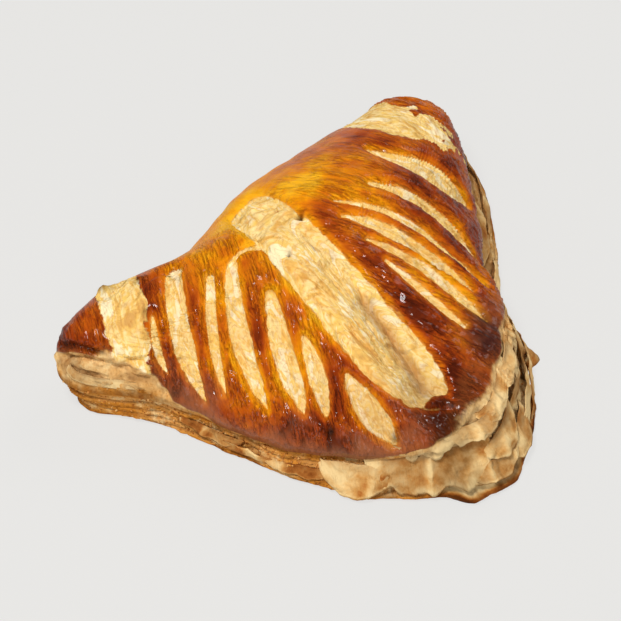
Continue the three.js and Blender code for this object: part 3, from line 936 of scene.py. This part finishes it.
# Speckle in two sizes, buttery patches, streaks and threads along the scores, and thin flakes.
crust = Finish("baked crust")
spot = crust.place()
fine = crust.noise(spot, 1.1, 4.0, 0.6)
medium = crust.noise(spot, 0.24, 4.0, 0.6)
patches = crust.noise(crust.grained(0.1, 0.32, 0.22), 1.0, 2.5, 0.5, 0.9)
streaks = crust.noise(crust.grained(0.13, 1.25, 0.35), 1.0, 4.0, 0.6, 0.6)
threads = crust.noise(crust.grained(0.14, 2.4, 0.2), 1.0, 3.0, 0.6, 0.4)
leaf = crust.noise(crust.place((0.17, 0.13, 0.13)), 1.0, 1.5, 0.5, 0.8) * 8.0
leaf = leaf.fraction()  # thin flakes, each rising to an edge over the next
opened, washed_in, dulled = (crust.kept(name) for name in ("opening", "wash", "dull"))
toasted, creviced = crust.kept("toast"), crust.kept("crevice")
wrinkly = patches.step(0.38, 0.6) * (1 - dulled * 0.8) * crust.kept("along").step(0.0, 14.0)
crest = 1 - (streaks - 0.5).size() * 7.0
brown = crust.kept("bake") + (medium - 0.5) * 0.35 + (0.4 - crest.step(0.0, 1.0)) * (0.03 + wrinkly * 0.15)


def glaze_colour():
    """Washed with egg: gold by the fold, then amber, chestnut and near black, lighter along its wrinkles."""
    colour = crust.ramp(
        brown, (0.0, (248, 180, 34)), (0.2, (238, 150, 12)), (0.38, (216, 118, 10)),
        (0.55, (190, 88, 8)), (0.74, (150, 54, 4)), (0.95, (92, 26, 2)))
    colour = crust.stain(colour, (160, 98, 62), dulled * 0.7)
    colour = crust.stain(colour, (140, 78, 34), (washed_in + (streaks - 0.5) * 3.0).step(2.0, 0.2) * 0.4)
    colour = crust.stain(colour, (50, 30, 30), crust.kept("scorch") * 0.85)
    return crust.stain(colour, (250, 186, 78), (opened + (medium - 0.5) * 2.0).step(-0.4, 0.1) * 0.4)


def bare_dough_colour():
    """Cream, with yellow buttery patches and a few toasted flecks and threads. Painted light makes raised
    sheets paler, and painted shade darkens low places, hollows and the foot of each flake's edge.
    """
    # Painted light and shade: the lift shading moves raised sheets to paler cream and low ones to darker.
    colour = crust.ramp(
        patches * 0.85 + (fine - 0.5) * 0.08 + crust.kept("lift_shading") * 0.07 + 0.085,
        (0.3, (216, 164, 92)), (0.4, (240, 194, 104)), (0.47, (250, 222, 156)), (0.54, (244, 200, 102)),
        (0.62, (253, 236, 190)))
    colour = crust.stain(colour, (220, 158, 76), threads.step(0.56, 0.72) * 0.3)
    # Painted shade at the foot of each thin flake's edge.
    colour = crust.stain(colour, (206, 142, 66), leaf.step(0.12, 0.0) * 0.4)
    # Painted shade in the hollows.
    colour = crust.stain(colour, (196, 124, 50), creviced * 0.8)
    # Painted shade in the low places.
    colour = crust.stain(colour, (192, 148, 94), crust.kept("shade"))
    return crust.stain(colour, (188, 118, 46), fine.step(0.68, 0.74) * 0.4)


def cut_side_colour():
    """The cut sides and the base: pale sheets with toasted edges, gilded where a little wash ran down, with
    painted shade between the sheets and in dark pore specks.
    """
    colour = crust.ramp(
        toasted + (medium - 0.5) * 0.7 + (fine - 0.5) * 0.35,
        (0.0, (242, 208, 148)), (0.22, (230, 186, 122)), (0.42, (210, 154, 86)), (0.62, (182, 112, 50)),
        (0.82, (132, 70, 24)), (1.0, (92, 46, 18)))
    gilded = dulled * medium.step(0.3, 0.52) * 0.8
    colour = crust.stain(colour, (208, 134, 46), gilded)
    # Painted shade: dark specks stand in for pores in the gilded crust.
    colour = crust.stain(colour, (128, 66, 18), gilded * fine.step(0.55, 0.64) * 0.7)
    # Painted shade between the sheets of the stack.
    return crust.stain(colour, (122, 70, 30), creviced * 0.6)


# Where each of the three shows, with slightly uneven borders.
edge_noise = (fine - 0.5) * 0.5
in_opening = (opened + edge_noise).step(-0.12, 0.12)
in_bare = (crust.kept("bare_corner") + edge_noise * 2.0).step(-0.3, 0.3)
is_washed = (washed_in + edge_noise).step(-0.5, 0.3)
shiny = is_washed * (1 - in_opening) * (1 - in_bare)
creamy = is_washed.most(in_opening) * (1 - toasted.step(0.2, 0.5))
colour = crust.blend(shiny, crust.blend(creamy, cut_side_colour(), bare_dough_colour()), glaze_colour())
# Painted shade in the steam holes and the corner slit, and browner nubs.
colour = crust.stain(colour, (58, 28, 16), crust.kept("hole_shade_and_nub_brown"))

wrinkle_relief = crest.step(-0.4, 1.0) * shiny * (0.15 + wrinkly * 0.6)
thread_relief = (threads * 0.4 + leaf * 0.35) * (1 - shiny)
fine_relief = crust.bump(wrinkle_relief + thread_relief, 1.0, 0.0008)
fine_relief = crust.bump(fine * (0.3 - shiny * 0.16), 0.8, 0.0004, fine_relief)
crust.surface(
    Base_Color=colour,
    Roughness=0.8 - shiny * 0.35 + (fine - 0.5) * 0.2,
    Coat_Weight=shiny * (brown.step(0.15, 0.7) * 0.4 + 0.03),
    Coat_Roughness=0.11,
    Coat_IOR=1.34,
    Specular_IOR_Level=0.07,
    Specular_Tint=(1.0, 0.6, 0.32, 1.0),
    Normal=fine_relief,
)
for piece in (pastry, sheets, crumbs):
    piece.data.materials.append(crust.material)

# ---- The place it stands in --------------------------------------------------
# A plain pale floor, a lamp over it and two weaker ones, in front and to the right.

FLOOR_HALF = 3
FLOOR_DROP = 0.0001  # keeps the floor out of the plane of the pastry's base
floor_mesh = bpy.data.meshes.new("floor")
floor_corners = [(x * FLOOR_HALF, y * FLOOR_HALF, 0) for x, y in ((-1, -1), (1, -1), (1, 1), (-1, 1))]
floor_mesh.from_pydata(floor_corners, [], [(0, 1, 2, 3)])
floor = bpy.data.objects.new("floor", floor_mesh)
floor.location.z = -FLOOR_DROP
bpy.context.scene.collection.objects.link(floor)
paint = Finish("pale floor")
paint.surface(
    Base_Color=tint(84, 84, 83),
    Roughness=1.0,
    Specular_IOR_Level=0.0,
    Emission_Color=tint(232, 231, 229),
    Emission_Strength=0.868,
)
floor.data.materials.append(paint.material)


LIT_SPOT = (0, 0, 0.02)


def lamp(name, where, size, power):
    """A round area lamp that points at the pastry."""
    data = bpy.data.lights.new(name, "AREA")
    data.shape = "DISK"
    data.size = size
    data.energy = power
    made = bpy.data.objects.new(name, data)
    made.location = where
    made.rotation_mode = "QUATERNION"
    made.rotation_quaternion = (Vector(LIT_SPOT) - Vector(where)).to_track_quat("-Z", "Y")
    bpy.context.scene.collection.objects.link(made)


lamp("overhead", (-0.34, -0.06, 0.92), 0.22, 6.7)
lamp("front", (-0.65, -0.6, 0.5), 0.5, 2.0)
lamp("right", (0.62, 0.1, 0.6), 0.4, 1.7)

world = bpy.data.worlds.new("room")
world.use_nodes = True
sky = world.node_tree.nodes["Background"].inputs
sky["Color"].default_value = (1.0, 0.96, 0.9, 1)
sky["Strength"].default_value = 0.28
bpy.context.scene.world = world
bpy.context.scene.view_settings.view_transform = "Standard"

# ---- The camera --------------------------------------------------------------

AZIMUTH, ELEVATION = math.radians(-40), math.radians(50)
DISTANCE = 0.83
LENS = 178
AIM = (-0.0054, 0.0146, 0.0166)

aim = Vector((AIM[0] + shift[0] / 1000, AIM[1] + shift[1] / 1000, AIM[2]))
level_share = math.cos(ELEVATION)
back = Vector((math.sin(AZIMUTH) * level_share, -math.cos(AZIMUTH) * level_share, math.sin(ELEVATION)))
camera = bpy.data.objects.new("camera", bpy.data.cameras.new("camera"))
camera.data.lens = LENS
camera.data.sensor_width = 36
camera.location = aim + back * DISTANCE
camera.rotation_mode = "QUATERNION"
camera.rotation_quaternion = (-back).to_track_quat("-Z", "Y")
bpy.context.scene.collection.objects.link(camera)
bpy.context.scene.camera = camera
